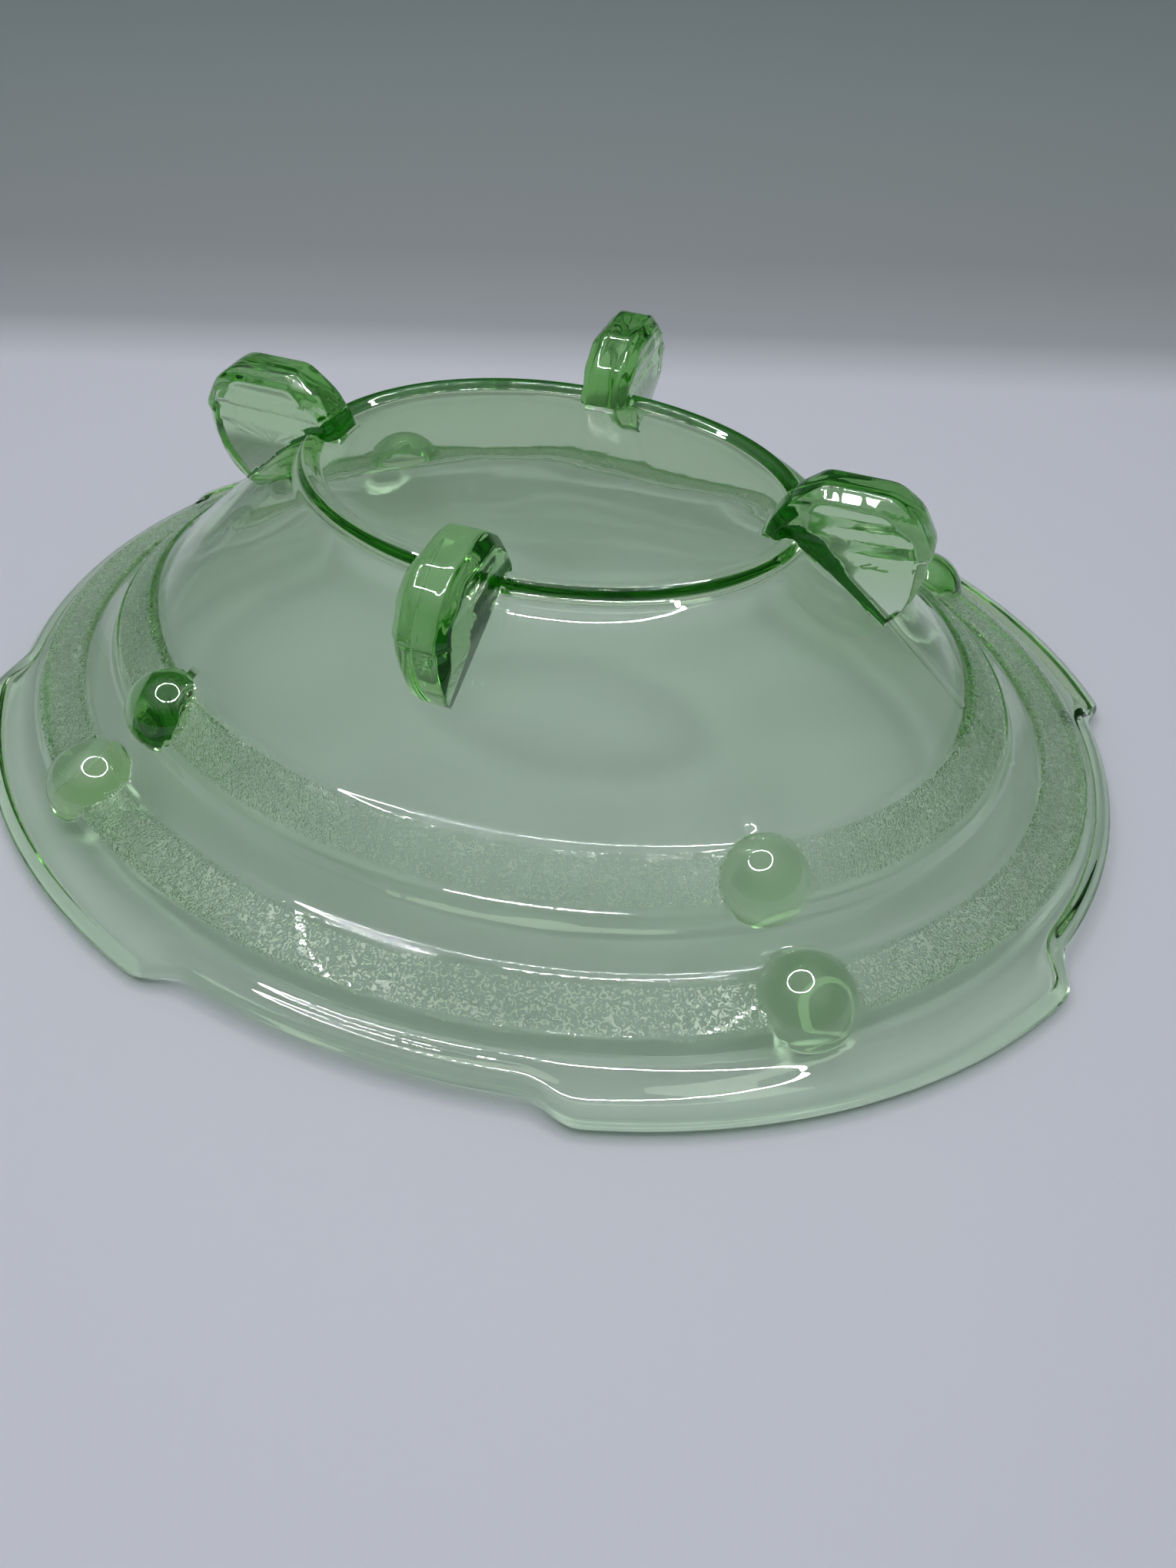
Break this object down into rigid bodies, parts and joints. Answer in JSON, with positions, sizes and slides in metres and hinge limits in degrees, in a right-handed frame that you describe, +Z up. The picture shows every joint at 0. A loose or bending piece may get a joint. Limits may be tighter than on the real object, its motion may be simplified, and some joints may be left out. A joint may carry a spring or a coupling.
{
  "type": "footed oval glass bowl",
  "caption": "Oval pressed-glass console bowl in pale green, stored upside down on its lobed rim, with disc feet, stippled bands and ball bosses.",
  "frame": {"origin": "centre of the oval rim, on the plane that the rim rests on when the bowl is stored upside down", "axes": "+Z up from the rim towards the base and the feet (the bowl's mouth faces -Z), +X along the long axis of the oval, +Y along the short axis; -Y is the front"},
  "size_m": [0.2852, 0.2348, 0.0816],
  "materials": {
    "bowl_glass": "clear pale green pressed glass, fire-polished, with two fine stippled bands on the outer face",
    "foot_glass": "thick clear green pressed glass with bevelled edges, darker because it is thicker",
    "ball_glass": "clear green pressed glass, smooth and domed"
  },
  "bodies": {
    "root": {"bowl": "bowl_glass", "foot_left": "foot_glass", "foot_right": "foot_glass", "foot_front": "foot_glass", "foot_back": "foot_glass", "upper_ball_front_left": "ball_glass", "upper_ball_front_right": "ball_glass", "upper_ball_back_left": "ball_glass", "upper_ball_back_right": "ball_glass", "lower_ball_front_left": "ball_glass", "lower_ball_front_right": "ball_glass", "lower_ball_back_left": "ball_glass", "lower_ball_back_right": "ball_glass"}
  },
  "joints": []
}
